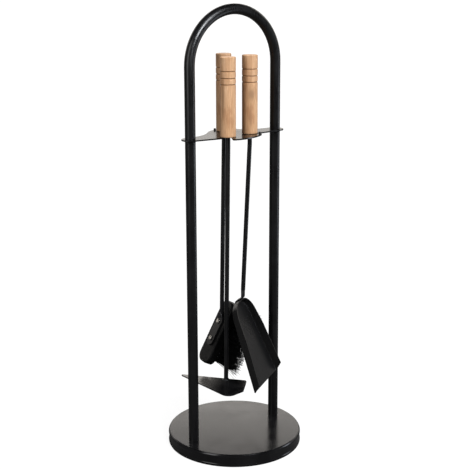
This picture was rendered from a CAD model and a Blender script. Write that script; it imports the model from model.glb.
import math
import random

import bpy
import numpy as np
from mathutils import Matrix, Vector


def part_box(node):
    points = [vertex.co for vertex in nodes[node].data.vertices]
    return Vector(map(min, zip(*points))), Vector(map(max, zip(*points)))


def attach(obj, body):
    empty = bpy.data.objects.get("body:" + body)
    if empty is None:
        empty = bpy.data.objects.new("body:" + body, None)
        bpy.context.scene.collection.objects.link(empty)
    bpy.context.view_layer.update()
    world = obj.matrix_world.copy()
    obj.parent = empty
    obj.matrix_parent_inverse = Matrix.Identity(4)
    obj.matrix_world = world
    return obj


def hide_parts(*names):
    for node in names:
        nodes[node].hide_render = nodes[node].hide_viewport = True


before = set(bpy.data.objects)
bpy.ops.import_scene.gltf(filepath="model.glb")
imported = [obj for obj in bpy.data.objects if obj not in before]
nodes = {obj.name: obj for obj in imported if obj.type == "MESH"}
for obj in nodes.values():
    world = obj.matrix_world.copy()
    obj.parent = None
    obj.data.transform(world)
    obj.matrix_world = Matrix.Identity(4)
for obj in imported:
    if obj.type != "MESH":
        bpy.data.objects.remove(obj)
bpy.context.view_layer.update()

scene = bpy.context.scene

# Lengths are in metres. The object stands on z = 0 with its base centred on the z axis.
AWAY = Vector((0.607, 0.795, 0.0))    # level direction from the camera to the object
RIGHT = Vector((0.795, -0.607, 0.0))  # level direction to the picture's right
UP = Vector((0, 0, 1))


# ---------- camera, seen from front left and a little above ----------

CAMERA_PLACE = (-0.94278, -1.23477, 0.7277)
CAMERA_TURN = (1.31562, 0.00191, -0.65359)
SENSOR_WIDTH_MM = 36.0
FOCAL_LENGTH_MM = 83.957

cam_data = bpy.data.cameras.new("camera")
camera = bpy.data.objects.new("camera", cam_data)
scene.collection.objects.link(camera)
cam_data.sensor_width = SENSOR_WIDTH_MM
cam_data.lens = FOCAL_LENGTH_MM
cam_data.clip_start, cam_data.clip_end = 0.05, 200.0
camera.location = CAMERA_PLACE
camera.rotation_euler = CAMERA_TURN
scene.camera = camera
scene.view_settings.view_transform = "Standard"


# ---------- node helpers ----------

class Nodes:
    """Short calls that add nodes to a tree. A value is a number, a tuple or another node's socket."""

    def __init__(self, tree):
        self.tree = tree
        self.tree.nodes.clear()

    def add(self, kind, **values):
        node = self.tree.nodes.new(kind)
        for key, value in values.items():
            setattr(node, key, value)
        return node

    def put(self, socket, value):
        if isinstance(value, bpy.types.NodeSocket):
            self.tree.links.new(value, socket)
        else:
            socket.default_value = value

    def fill(self, node, values):
        """Set or link each input that values names, and give the node back."""
        for key, value in values.items():
            self.put(node.inputs[key], value)
        return node

    def math(self, operation, a, b=0.0, c=None):
        node = self.add("ShaderNodeMath", operation=operation)
        self.put(node.inputs[0], a)
        self.put(node.inputs[1], b)
        if c is not None:
            self.put(node.inputs[2], c)
        return node.outputs[0]

    def vector_math(self, operation, a, b=(0, 0, 0)):
        node = self.add("ShaderNodeVectorMath", operation=operation)
        self.put(node.inputs[0], a)
        self.put(node.inputs[1], b)
        return node.outputs["Value" if operation in ("LENGTH", "DOT_PRODUCT") else "Vector"]

    def height(self, vector):
        """The vector's Z."""
        return self.fill(self.add("ShaderNodeSeparateXYZ"), {"Vector": vector}).outputs["Z"]

    def span(self, value, low, high, to_low=0.0, to_high=1.0, smooth=True):
        """Map low..high to to_low..to_high, held at both ends."""
        node = self.add("ShaderNodeMapRange", interpolation_type="SMOOTHSTEP" if smooth else "LINEAR")
        self.fill(node, {"Value": value, "From Min": low, "From Max": high,
                         "To Min": to_low, "To Max": to_high})
        return node.outputs["Result"]


class Material(Nodes):
    """A material with one Principled shader. place is the shaded point in the object's own space."""

    def __init__(self, name):
        self.mat = bpy.data.materials.new(name)
        self.mat.use_nodes = True
        super().__init__(self.mat.node_tree)
        self.shader = self.add("ShaderNodeBsdfPrincipled")
        self.fill(self.add("ShaderNodeOutputMaterial"), {"Surface": self.shader.outputs[0]})
        self.place = self.add("ShaderNodeTexCoord").outputs["Object"]

    def mapped(self, scale=(1, 1, 1), shift=(0, 0, 0), turn=(0, 0, 0), source=None):
        values = {"Vector": source or self.place, "Scale": scale, "Location": shift, "Rotation": turn}
        return self.fill(self.add("ShaderNodeMapping"), values).outputs[0]

    def noise(self, source, scale=1.0, detail=3.0, rough=0.5, warp=0.0):
        values = {"Vector": source, "Scale": scale, "Detail": detail,
                  "Roughness": rough, "Distortion": warp}
        return self.fill(self.add("ShaderNodeTexNoise"), values).outputs["Fac"]

    def cells(self, source, scale):
        """Distance to the nearest of many scattered points, in cells."""
        values = {"Vector": source, "Scale": scale}
        return self.fill(self.add("ShaderNodeTexVoronoi"), values).outputs["Distance"]

    def mix(self, fac, a, b):
        node = self.add("ShaderNodeMix", data_type="RGBA", blend_type="MIX")
        self.put(node.inputs["Factor"], fac)
        self.put(node.inputs["A"], a if isinstance(a, bpy.types.NodeSocket) else (*a, 1.0))
        self.put(node.inputs["B"], b if isinstance(b, bpy.types.NodeSocket) else (*b, 1.0))
        return node.outputs["Result"]

    def bump(self, height, strength, distance, under=None):
        node = self.add("ShaderNodeBump")
        self.fill(node, {"Strength": strength, "Distance": distance, "Height": height})
        if under is not None:
            self.put(node.inputs["Normal"], under)
        return node.outputs["Normal"]

    def finish(self, colour, roughness, normal=None, metallic=0.0, **fixed):
        self.fill(self.shader, {"Base Color": colour, "Roughness": roughness, "Metallic": metallic})
        if normal is not None:
            self.put(self.shader.inputs["Normal"], normal)
        for key, value in fixed.items():
            self.shader.inputs[key.replace("_", " ")].default_value = value
        return self.mat


# ---------- paint ----------

PAINT_IOR = 1.45
SATIN_BLACK = (0.0032, 0.0032, 0.0036)
RUBBED_BLACK = tuple(1.7 * c + 0.0012 for c in SATIN_BLACK)
DUST = (0.16, 0.145, 0.13)
ASH = (0.062, 0.059, 0.055)


def satin_paint(name, roughness, peel, dust, streak=None, ash=None):
    """Black stoved paint with orange peel, powder grain, handling marks and specks of dust on top.

    peel is the relief's strength, dust the specks' strength and streak the scale of long brushed marks.
    ash is the foot of a thin film of ash and the level direction in which it thickens.
    """
    n = Material(name)
    peel_height = n.noise(n.mapped(), 620, 2.0, 0.45)
    grain = n.noise(n.mapped(), 3600, 2.0, 0.6)
    smudge = n.noise(n.mapped((1, 1, 0.7)), 26, 4.0, 0.55, 0.6)
    cloud = n.noise(n.mapped(shift=(3.1, 1.7, 0.4)), 7, 3.0, 0.5)
    specks = n.span(n.cells(n.mapped(), 420), 0.03, 0.10, 1.0, 0.0)
    clouded_specks = n.math("MULTIPLY", specks, n.span(cloud, 0.5, 0.66))
    facing_up = n.span(n.height(n.add("ShaderNodeNewGeometry").outputs["Normal"]), 0.35, 0.95)
    dusty = n.math("MULTIPLY", n.math("MULTIPLY", clouded_specks, facing_up), dust)
    colour = n.mix(n.span(smudge, 0.35, 0.7), SATIN_BLACK, RUBBED_BLACK)
    colour = n.mix(dusty, colour, DUST)
    if ash is not None:
        foot, heading = ash
        reach = n.vector_math("DOT_PRODUCT", n.vector_math("SUBTRACT", n.place, foot), heading)
        film = n.math("MULTIPLY", n.span(reach, -0.006, 0.030), n.span(smudge, 0.2, 0.7, 0.65, 1.0))
        colour = n.mix(film, colour, ASH)
    rough = n.span(smudge, 0.25, 0.8, roughness - 0.035, roughness + 0.07)
    rough = n.math("ADD", rough, n.math("MULTIPLY", dusty, 0.3))
    if streak is not None:
        brushed = n.noise(n.mapped(streak), 1.0, 3.0, 0.6)
        rough = n.math("ADD", rough, n.span(brushed, 0.3, 0.7, -0.03, 0.05))
    normal = n.bump(peel_height, peel, 0.00025)
    normal = n.bump(grain, peel * 0.8, 0.00006, normal)
    return n.finish(colour, rough, normal, IOR=PAINT_IOR)


def pan_paint(name):
    """The shovel's paint: satin black with a fine pale speckle and long rubbed marks."""
    black, speckled, worn = (0.0040, 0.0040, 0.0044), (0.0150, 0.0147, 0.0145), (0.011, 0.011, 0.011)
    n = Material(name)
    peel_height = n.noise(n.mapped(), 700, 3.0, 0.55)
    speck = n.noise(n.mapped(), 1500, 2.0, 0.75)
    rubbed = n.noise(n.mapped((260, 260, 30), turn=(0.35, 0.25, 0.0)), 1.0, 4.0, 0.6)
    cloud = n.noise(n.mapped(shift=(0.3, 0.9, 0.1)), 30, 3.0, 0.5)
    colour = n.mix(n.span(speck, 0.52, 0.72), black, speckled)
    colour = n.mix(n.span(rubbed, 0.52, 0.78, 0.0, 0.45), colour, worn)
    normal = n.bump(peel_height, 0.20, 0.0003)
    normal = n.bump(speck, 0.16, 0.00008, normal)
    return n.finish(colour, n.span(cloud, 0.3, 0.75, 0.27, 0.34), normal, IOR=PAINT_IOR)


def block_paint(name):
    """The brush block's black lacquer with fine slanting tool marks."""
    black, marked, cloudy = (0.0026, 0.0026, 0.0029), (0.0070, 0.0070, 0.0074), (0.0055, 0.0055, 0.0060)
    n = Material(name)
    hatch = n.add("ShaderNodeTexWave", wave_type="BANDS", bands_direction="X", wave_profile="SIN")
    n.fill(hatch, {"Vector": n.mapped(turn=(0.5, 0.4, 0.75)), "Scale": 95, "Distortion": 2.4,
                   "Detail": 3, "Detail Scale": 3.0})
    marks = hatch.outputs["Fac"]
    pits = n.noise(n.mapped(), 1300, 3.0, 0.6)
    cloud = n.noise(n.mapped(), 60, 3.0, 0.5)
    colour = n.mix(n.span(marks, 0.55, 0.95, 0.0, 0.55), black, marked)
    colour = n.mix(n.span(cloud, 0.5, 0.8, 0.0, 0.5), colour, cloudy)
    normal = n.bump(marks, 0.20, 0.00015)
    normal = n.bump(pits, 0.22, 0.0001, normal)
    rough = n.span(cloud, 0.3, 0.7, 0.42, 0.55)
    return n.finish(colour, rough, normal, IOR=PAINT_IOR, Specular_IOR_Level=0.25)


# ---------- metal, felt, filling ----------

def plain_metal(name, tone, stain, stains, rough_low, rough_high, drawn_scale):
    """Unpainted metal with fine drawing marks, mottled colour and a few stains of strength stains."""
    n = Material(name)
    drawn = n.noise(n.mapped(drawn_scale), 1.0, 4.0, 0.6)
    mottle = n.noise(n.mapped(), 160, 4.0, 0.55, 0.4)
    dark = tuple(0.66 * c for c in tone)
    colour = n.mix(n.span(mottle, 0.3, 0.7), tone, dark)
    colour = n.mix(n.span(mottle, 0.55, 0.8, 0.0, stains), colour, stain)
    rough = n.span(drawn, 0.25, 0.75, rough_low, rough_high)
    return n.finish(colour, rough, n.bump(drawn, 0.18, 0.00006), metallic=1.0)


def felt(name):
    """Nearly black felt: tangled fibres and soft lumps."""
    dark, light, lumpy = (0.010, 0.010, 0.011), (0.055, 0.054, 0.056), (0.03, 0.03, 0.03)
    n = Material(name)
    fibre = n.noise(n.mapped(), 1700, 5.0, 0.7, 1.8)
    lump = n.noise(n.mapped(), 240, 4.0, 0.6)
    colour = n.mix(n.span(fibre, 0.3, 0.7), dark, light)
    colour = n.mix(n.span(lump, 0.45, 0.75, 0.0, 0.5), colour, lumpy)
    normal = n.bump(lump, 0.4, 0.0005)
    normal = n.bump(fibre, 0.6, 0.0003, normal)
    return n.finish(colour, 0.95, normal, Sheen_Weight=0.3, Sheen_Roughness=0.5)


def filling(name):
    """Cast mineral filling: grey and sandy, with pebbles and pores."""
    grey, pale = (0.20, 0.19, 0.175), (0.38, 0.365, 0.34)
    stone, hole = (0.13, 0.12, 0.115), (0.06, 0.058, 0.055)
    n = Material(name)
    sand = n.noise(n.mapped(), 900, 5.0, 0.7)
    pebble = n.cells(n.mapped(), 160)
    pore = n.cells(n.mapped(shift=(0.4, 0.2, 0.6)), 300)
    colour = n.mix(n.span(sand, 0.3, 0.7), grey, pale)
    colour = n.mix(n.span(pebble, 0.0, 0.35, 0.35, 0.0), colour, stone)
    colour = n.mix(n.span(pore, 0.0, 0.14, 0.8, 0.0), colour, hole)
    return n.finish(colour, n.span(sand, 0.2, 0.8, 0.75, 0.95), n.bump(sand, 0.5, 0.0004))


# ---------- wood of the handles ----------

HANDLE_RADIUS = 0.0112
HANDLE_LENGTH = 0.1114
GROOVES_DOWN = (0.0195, 0.0291, 0.0379)  # three scorched grooves, below the handle's top
PITH = (-0.021, 0.013)                   # middle of the growth rings, outside the handle
RINGS_PER_METRE = 470.0

PALE_BEECH = (0.760, 0.470, 0.265)
MID_BEECH = (0.620, 0.350, 0.180)
DEEP_BEECH = (0.420, 0.210, 0.098)
BROWN_BLOTCH = (0.475, 0.235, 0.110)
PALE_BLOTCH = (0.900, 0.600, 0.365)
RAY_FLECK = (0.27, 0.135, 0.065)
KNOT_CORE = (0.20, 0.115, 0.062)
KNOT_HALO = (0.40, 0.225, 0.11)
DARK_STREAK = (0.25, 0.130, 0.062)
SCORCHED = (0.20, 0.095, 0.040)
SOILED = (0.30, 0.16, 0.08)


def round_knot(n, skin, knot):
    """Bend the grain round a knot. Gives the bent place and the distance from the knot."""
    away = n.vector_math("MULTIPLY", n.vector_math("SUBTRACT", skin, knot), (1.0, 1.0, 0.62))
    reach = n.vector_math("LENGTH", away)
    pull = n.fill(n.add("ShaderNodeCombineXYZ"), {"X": n.span(reach, 0.001, 0.013, 0.0042, 0.0)})
    wandered = n.vector_math("ADD", skin, n.vector_math("MULTIPLY", away, (0.35, 0.35, 0.05)))
    return n.vector_math("ADD", wandered, pull.outputs[0]), reach


def late_wood(n, local, lean):
    """The dark outer edge of each growth ring. lean moves the pith for one handle."""
    bend = n.noise(n.mapped((26, 26, 7), source=local), 1.0, 2.0, 0.5)
    swing = n.span(bend, 0.2, 0.8, -0.0032, 0.0032, smooth=False)
    from_pith = n.vector_math("ADD", local, (lean[0] - PITH[0], lean[1] - PITH[1], 0.0))
    flat = n.vector_math("MULTIPLY", from_pith, (1.0, 1.0, 0.03))
    radius = n.math("ADD", n.vector_math("LENGTH", flat), swing)
    ring = n.math("FRACT", n.math("MULTIPLY", radius, RINGS_PER_METRE))
    return n.math("MULTIPLY", n.span(ring, 0.30, 0.92), n.span(ring, 0.93, 1.0, 1.0, 0.0))


def scorched_grooves(n, height, fibre):
    """How burnt the wood is, in and just beside each groove."""
    burnt = None
    for groove in GROOVES_DOWN:
        off = n.math("ABSOLUTE", n.math("ADD", height, groove))
        ragged = n.math("ADD", off, n.span(fibre, 0.2, 0.8, -0.0001, 0.0002))
        scorch = n.span(ragged, 0.0003, 0.0013, 0.74, 0.0)
        burnt = scorch if burnt is None else n.math("MAXIMUM", burnt, scorch)
    return burnt


def turned_wood(name, top_centre, lean, tint, streaks, knot=None):
    """Pale beech in one handle's own space, which starts at the middle of its top.

    Each streak is its middle, a factor on lengths along the handle (a small one makes a long streak),
    its width and its depth of colour.
    """
    def tinted(colour):
        return tuple(tint * c for c in colour)

    n = Material(name)
    skin = n.vector_math("SUBTRACT", n.place, top_centre)
    local, reach = (skin, None) if knot is None else round_knot(n, skin, knot)
    late = late_wood(n, local, lean)
    broad = n.noise(n.mapped((120, 120, 9), source=local), 1.0, 3.0, 0.5)
    blotch = n.noise(n.mapped((170, 170, 42), shift=(7, 1, 3), source=local), 1.0, 4.0, 0.55, 0.5)
    fibre = n.noise(n.mapped((1500, 1500, 46), source=local), 1.0, 3.0, 0.6)
    ray = n.noise(n.mapped((620, 620, 90), shift=(4, 2, 1), source=local), 1.0, 2.0, 0.5)

    colour = n.mix(n.span(broad, 0.32, 0.70), tinted(PALE_BEECH), tinted(MID_BEECH))
    colour = n.mix(n.span(blotch, 0.50, 0.70, 0.0, 0.70), colour, tinted(BROWN_BLOTCH))
    colour = n.mix(n.span(blotch, 0.46, 0.28, 0.0, 0.60), colour, tinted(PALE_BLOTCH))
    colour = n.mix(n.math("MULTIPLY", late, 0.42), colour, tinted(DEEP_BEECH))
    colour = n.mix(n.span(fibre, 0.50, 0.74, 0.0, 0.40), colour, tinted(DEEP_BEECH))
    colour = n.mix(n.span(ray, 0.66, 0.76, 0.0, 0.50), colour, RAY_FLECK)
    if knot is not None:
        core = n.math("MULTIPLY", n.span(reach, 0.0012, 0.0062, 1.0, 0.0), 0.52)
        halo = n.math("MULTIPLY", n.span(reach, 0.004, 0.012, 1.0, 0.0), 0.28)
        colour = n.mix(core, colour, KNOT_CORE)
        colour = n.mix(halo, colour, KNOT_HALO)
    for spot, stretch, width, depth in streaks:
        line = n.vector_math("MULTIPLY", n.vector_math("SUBTRACT", skin, spot), (1.0, 1.0, stretch))
        edge = n.span(broad, 0.3, 0.7, -0.25 * width, 0.25 * width)
        wave = n.math("ADD", n.vector_math("LENGTH", line), edge)
        colour = n.mix(n.span(wave, 0.0004, width, depth, 0.0), colour, DARK_STREAK)
    height = n.height(skin)
    colour = n.mix(scorched_grooves(n, height, fibre), colour, SCORCHED)
    colour = n.mix(n.span(height, -HANDLE_LENGTH, -0.1085, 0.35, 0.0), colour, SOILED)

    normal = n.bump(fibre, 0.16, 0.00018)
    normal = n.bump(late, 0.10, 0.00012, normal)
    return n.finish(colour, n.span(fibre, 0.3, 0.7, 0.46, 0.60), normal, IOR=1.48)


def top_centre_of(node):
    lo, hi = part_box(node)
    return ((lo.x + hi.x) / 2, (lo.y + hi.y) / 2, hi.z)


def on_side(right, away, down):
    """A place on a handle's skin: right and away as fractions of the radius, and down from the top."""
    side = (RIGHT * right + AWAY * away) * HANDLE_RADIUS
    return (side.x, side.y, -down)


# ---------- finishes on the CAD pieces ----------

def finish_node(node, material):
    for slot in nodes[node].material_slots:
        slot.material = material


BLADE_ASH = ((-0.0237, -0.0108, 0.105), (-0.616, 0.788, 0.0))  # from the blade's rod towards its point

base_paint = satin_paint("paint_base", 0.17, peel=0.05, dust=0.35)
tube_paint = satin_paint("paint_tube", 0.29, peel=0.10, dust=0.2, streak=(500, 500, 12))
rod_paint = satin_paint("paint_rod", 0.31, peel=0.12, dust=0.2, streak=(700, 700, 16))
plate_paint = satin_paint("paint_plate", 0.20, peel=0.07, dust=0.35)
blade_paint = satin_paint("paint_blade", 0.20, peel=0.08, dust=0.35, ash=BLADE_ASH)
shovel_paint = pan_paint("paint_pan")
steel = plain_metal("bare_steel", (0.50, 0.485, 0.465), (0.25, 0.17, 0.10), 0.35, 0.28, 0.5, (900, 900, 60))
zinc = plain_metal("zinc_steel", (0.72, 0.69, 0.63), (0.42, 0.38, 0.28), 0.4, 0.20, 0.38, (700, 700, 700))
brass = plain_metal("brass", (0.76, 0.55, 0.24), (0.32, 0.19, 0.07), 0.4, 0.22, 0.4, (60, 60, 1100))

for node, material in {
    "base_cover": base_paint, "base_weight": filling("weight_filling"), "base_bottom_plate": steel,
    "base_felt": felt("felt"), "leg_plugs": steel, "leg_screws": zinc, "leg_washers": zinc,
    "hoop_tube": tube_paint, "rest_welds": tube_paint, "keeper_pegs": tube_paint, "tool_rest": plate_paint,
    "poker_rod": rod_paint, "poker_weld": rod_paint, "poker_blade": blade_paint,
    "brush_rod": rod_paint, "brush_block": block_paint("block"), "brush_screws": zinc,
    "shovel_rod": rod_paint, "shovel_weld": shovel_paint, "shovel_pan": shovel_paint,
    "poker_insert": brass, "brush_insert": brass, "shovel_insert": brass,
}.items():
    finish_node(node, material)

# Each handle is cut from another piece of wood, with its own lean of grain, tint and dark streaks.
HANDLES = {
    "poker": {
        "lean": (0.004, 0.002), "tint": 1.0,
        "streaks": ((on_side(-0.60, -0.80, 0.058), 0.10, 0.0034, 0.60),
                    (on_side(-0.97, -0.25, 0.075), 0.03, 0.0034, 0.40))},
    "brush": {
        "lean": (-0.006, 0.007), "tint": 0.86,
        "streaks": ((on_side(-0.70, -0.70, 0.006), 0.35, 0.0085, 0.60),
                    (on_side(-0.40, -0.92, 0.080), 0.05, 0.0040, 0.50))},
    "shovel": {
        "lean": (0.002, -0.006), "tint": 1.0, "knot": on_side(0.24, -0.97, 0.0545),
        "streaks": ((on_side(-0.99, -0.14, 0.080), 0.035, 0.0105, 0.82),
                    (on_side(0.10, -0.99, 0.088), 0.12, 0.0030, 0.30))},
}
for tool, wood in HANDLES.items():
    handle = tool + "_handle"
    finish_node(handle, turned_wood("wood_" + tool, top_centre_of(handle), **wood))


# ---------- bristles ----------

SEED = 11
BEND = np.array((0.0022, 0.0336, 0.1939))    # where the brush rod turns into its strap
ALONG = np.array((-0.462, 0.082, -0.883))    # down the block
ACROSS = np.array((-0.174, -0.985, 0.0))     # across the block
OUTWARD = np.array((-0.870, 0.153, 0.469))   # out of the block's back, away from the bristles
ROOT_DEPTH = 0.0145                          # from the strap's plane to the fibres' roots
MIDDLE_ALONG = 0.03025                       # from the bend to the middle of the bristles
HALF_ALONG, HALF_ASIDE = 0.0415, 0.0105      # half the field of tufts
FIBRE_LENGTH = 0.0490
FIBRE_RADIUS = 0.00030
ROWS, TUFTS_IN_ROW, FIBRES_IN_TUFT = 4, 14, 34
TUFT_RADIUS = 0.0021
LOOSE_FIBRES, END_FIBRES = 46, 16


def bristle_stuff(name):
    """Black plastic fibre, shiny and patchy, worn paler here and there."""
    black, grey, worn_pale = (0.0055, 0.0055, 0.0060), (0.017, 0.0165, 0.017), (0.04, 0.038, 0.037)
    n = Material(name)
    tone = n.noise(n.mapped(), 900, 2.0, 0.5)
    worn = n.noise(n.mapped(), 140, 3.0, 0.6)
    colour = n.mix(n.span(tone, 0.3, 0.7), black, grey)
    colour = n.mix(n.span(worn, 0.62, 0.8, 0.0, 0.35), colour, worn_pale)
    return n.finish(colour, n.span(tone, 0.3, 0.7, 0.38, 0.55), n.bump(tone, 0.15, 0.0001), IOR=PAINT_IOR)


def hair(rng, along, aside, length, spread, curl, radius=FIBRE_RADIUS, stray=0.0):
    """Points and radii of one fibre, from its root outwards."""
    root = BEND + ALONG * (MIDDLE_ALONG + along) + ACROSS * aside - OUTWARD * ROOT_DEPTH
    lean_along = along / HALF_ALONG * 0.085 + rng.gauss(0.0, spread)
    lean_aside = aside / HALF_ASIDE * 0.070 + rng.gauss(0.0, spread)
    heading = -OUTWARD + ALONG * lean_along + ACROSS * lean_aside
    heading = heading / np.linalg.norm(heading)
    droop = np.array((0.0, 0.0, -1.0)) * curl
    side = ALONG * rng.gauss(0.0, 0.05 + stray) + ACROSS * rng.gauss(0.0, 0.05 + stray)
    steps = np.linspace(0.0, 1.0, 6)
    points = [root + heading * length * t + (droop + side) * length * t * t for t in steps]
    return np.array(points), radius * (1.0 - 0.35 * steps)


def tuft_hairs(rng, along, aside):
    """The fibres of one round tuft. They share a spread and nearly share a length."""
    spread = rng.uniform(0.018, 0.045)
    length = FIBRE_LENGTH * rng.uniform(0.955, 1.0)
    strands = []
    for _ in range(FIBRES_IN_TUFT):
        turn = rng.uniform(0, 2 * math.pi)
        out = TUFT_RADIUS * math.sqrt(rng.random())
        strands.append(hair(rng, along + out * math.cos(turn), aside + out * math.sin(turn),
                            length * rng.uniform(0.94, 1.015), spread, 0.02))
    return strands


def all_hairs():
    """Tufts in staggered rows, loose fibres all over, and drooping ones at the block's lower end."""
    rng = random.Random(SEED)
    strands = []
    for row in range(ROWS):
        stagger = 0.5 if row % 2 else 0.0
        for column in range(TUFTS_IN_ROW):
            along = -HALF_ALONG + 2 * HALF_ALONG * (column + 0.25 + stagger) / TUFTS_IN_ROW
            aside = -HALF_ASIDE + 2 * HALF_ASIDE * row / (ROWS - 1)
            strands += tuft_hairs(rng, along, aside)
    for _ in range(LOOSE_FIBRES):
        along = rng.uniform(-HALF_ALONG, HALF_ALONG)
        aside = rng.uniform(-HALF_ASIDE, HALF_ASIDE)
        strands.append(hair(rng, along, aside, FIBRE_LENGTH * rng.uniform(0.88, 1.04), 0.07,
                            rng.uniform(-0.02, 0.10), radius=0.00032, stray=0.06))
    for _ in range(END_FIBRES):
        along = HALF_ALONG * rng.uniform(0.86, 1.0)
        aside = HALF_ASIDE * rng.uniform(-0.2, 0.9)
        strands.append(hair(rng, along, aside, 0.0510 * rng.uniform(0.92, 1.0), 0.10,
                            rng.uniform(0.10, 0.22), radius=0.00036, stray=0.05))
    return strands


def fibres(name, strands, sides=4):
    """One mesh of thin tapering tubes, one for each strand."""
    verts, faces = [], []
    turn = np.linspace(0, 2 * math.pi, sides, endpoint=False)
    for points, radii in strands:
        first = len(verts)
        run = points[-1] - points[0]
        run = run / np.linalg.norm(run)
        one = np.cross(run, (0.3, 0.5, 0.8))
        one = one / np.linalg.norm(one)
        two = np.cross(run, one)
        for point, radius in zip(points, radii):
            for a in turn:
                verts.append(point + radius * (math.cos(a) * one + math.sin(a) * two))
        for k in range(len(points) - 1):
            low = first + k * sides
            for s in range(sides):
                t = (s + 1) % sides
                faces.append((low + s, low + t, low + sides + t, low + sides + s))
        last = first + (len(points) - 1) * sides
        faces.append(tuple(first + s for s in reversed(range(sides))))
        faces.append(tuple(last + s for s in range(sides)))
    mesh = bpy.data.meshes.new(name)
    mesh.from_pydata([tuple(v) for v in verts], [], faces)
    mesh.update()
    for polygon in mesh.polygons:
        polygon.use_smooth = True
    made = bpy.data.objects.new(name, mesh)
    scene.collection.objects.link(made)
    return made


bristles = fibres("bristle_fibres", all_hairs())
bristles.data.materials.append(bristle_stuff("bristle"))
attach(bristles, "brush")
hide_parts("brush_bristles")


# ---------- studio: pale floor, white behind, dark in front, four soft lights ----------

FLOOR_HALF = 30.0
FLOOR_GLOW = 0.93         # brightness that the camera sees
ROOM_COLOUR = (1.0, 0.955, 0.905)
ROOM_FRONT = 0.06         # the room's brightness in front of the object
ROOM_BACK = 1.05          # behind it
ROOM_BELOW = 0.20         # below it, as a share of the rest
ROOM_LID = 0.30           # added overhead
ROOM_BAND = 2.0           # added in a low band behind, in times the brightness there
ROOM_TOP = 0.03           # what is left of all of it above the band, as a share
COOL_LIGHT = (0.84, 0.90, 1.0)
COOL_WHITE = (0.92, 0.95, 1.0)


def studio_floor():
    """Pale floor that the camera sees as plain white. Other rays, such as mirrored ones, find dark grey."""
    mesh = bpy.data.meshes.new("studio_floor")
    corners = [-AWAY - RIGHT, -AWAY + RIGHT, AWAY + RIGHT, AWAY - RIGHT]
    mesh.from_pydata([tuple(c * FLOOR_HALF) for c in corners], [], [(0, 1, 2, 3)])
    floor = bpy.data.objects.new("studio_floor", mesh)
    scene.collection.objects.link(floor)
    n = Material("floor_paint")
    grey = n.mix(n.noise(n.mapped(), 30, 3.0, 0.5), (0.095, 0.095, 0.095), (0.11, 0.11, 0.11))
    seen = n.add("ShaderNodeLightPath").outputs["Is Camera Ray"]
    n.put(n.shader.inputs["Emission Color"], (1.0, 1.0, 1.0, 1.0))
    n.put(n.shader.inputs["Emission Strength"], n.math("MULTIPLY", seen, FLOOR_GLOW))
    floor.data.materials.append(n.finish(grey, 0.9, IOR=1.2))


def studio_world():
    """White behind with a brighter band low down, dark in front and below. The camera sees plain white."""
    world = bpy.data.worlds.new("studio")
    world.use_nodes = True
    scene.world = world
    n = Nodes(world.node_tree)
    heading = n.add("ShaderNodeTexCoord").outputs["Generated"]
    height = n.height(heading)
    sweep = n.span(n.vector_math("DOT_PRODUCT", heading, AWAY), 0.20, 0.90, ROOM_FRONT, ROOM_BACK)
    horizon = n.span(height, -0.10, 0.10, ROOM_BELOW, 1.0)
    lid = n.span(height, 0.45, 0.95, 0.0, ROOM_LID)
    rise = n.span(height, 0.20, 0.36, 0.0, ROOM_BAND)
    fall = n.span(height, 0.375, 0.450, 1.0, ROOM_TOP)
    wall = n.math("MULTIPLY_ADD", sweep, horizon, lid)
    lit = n.math("MULTIPLY", n.math("ADD", n.math("MULTIPLY", sweep, rise), wall), fall)

    room = n.add("ShaderNodeBackground")
    n.fill(room, {"Color": (*ROOM_COLOUR, 1.0), "Strength": lit})
    white = n.fill(n.add("ShaderNodeBackground"), {"Color": (1.0, 1.0, 1.0, 1.0)})
    mix = n.add("ShaderNodeMixShader")
    n.put(mix.inputs[0], n.add("ShaderNodeLightPath").outputs["Is Camera Ray"])
    n.put(mix.inputs[1], room.outputs[0])
    n.put(mix.inputs[2], white.outputs[0])
    n.fill(n.add("ShaderNodeOutputWorld"), {"Surface": mix.outputs[0]})


def lamp(name, kind, place, target, energy, colour=(1, 1, 1)):
    """A light at a place, turned towards its target."""
    data = bpy.data.lights.new(name, kind)
    data.energy = energy
    data.color = colour
    lit = bpy.data.objects.new(name, data)
    scene.collection.objects.link(lit)
    lit.location = place
    lit.rotation_euler = (Vector(target) - Vector(place)).to_track_quat("-Z", "Y").to_euler()
    return lit


def softbox(name, place, target, energy, size, colour=(1, 1, 1)):
    """A rectangular area light."""
    lit = lamp(name, "AREA", place, target, energy, colour)
    lit.data.shape = "RECTANGLE"
    lit.data.size, lit.data.size_y = size
    return lit


def studio_lights():
    """A sun that isn't mirrored, a key from the left, a box for gloss only, and a cool box at the side."""
    sun = lamp("overhead", "SUN", RIGHT * 0.55 - AWAY * 0.70 + UP * 0.95, (0, 0, 0), 4.0)
    sun.data.angle = math.radians(30)
    sun.visible_glossy = False

    softbox("key", -RIGHT * 0.85 - AWAY * 0.95 + UP * 0.85, (0, 0, 0.53), 6.0, (0.55, 1.1))

    top_place = (RIGHT * 0.62 - AWAY * 0.85 + UP * 0.68) * 0.95 + UP * 0.6
    top = softbox("top_box", top_place, (0, 0, 0.80), 2.9, (0.55, 0.55), COOL_WHITE)
    top.data.spread = math.radians(50)
    top.visible_camera = False
    top.visible_diffuse = False

    side_place = RIGHT * 1.2 + AWAY * 0.1 + UP * 0.25
    side = softbox("side_box", side_place, (0, 0, 0.5), 2.0, (0.3, 0.5), COOL_LIGHT)
    side.visible_camera = False


studio_floor()
studio_world()
studio_lights()
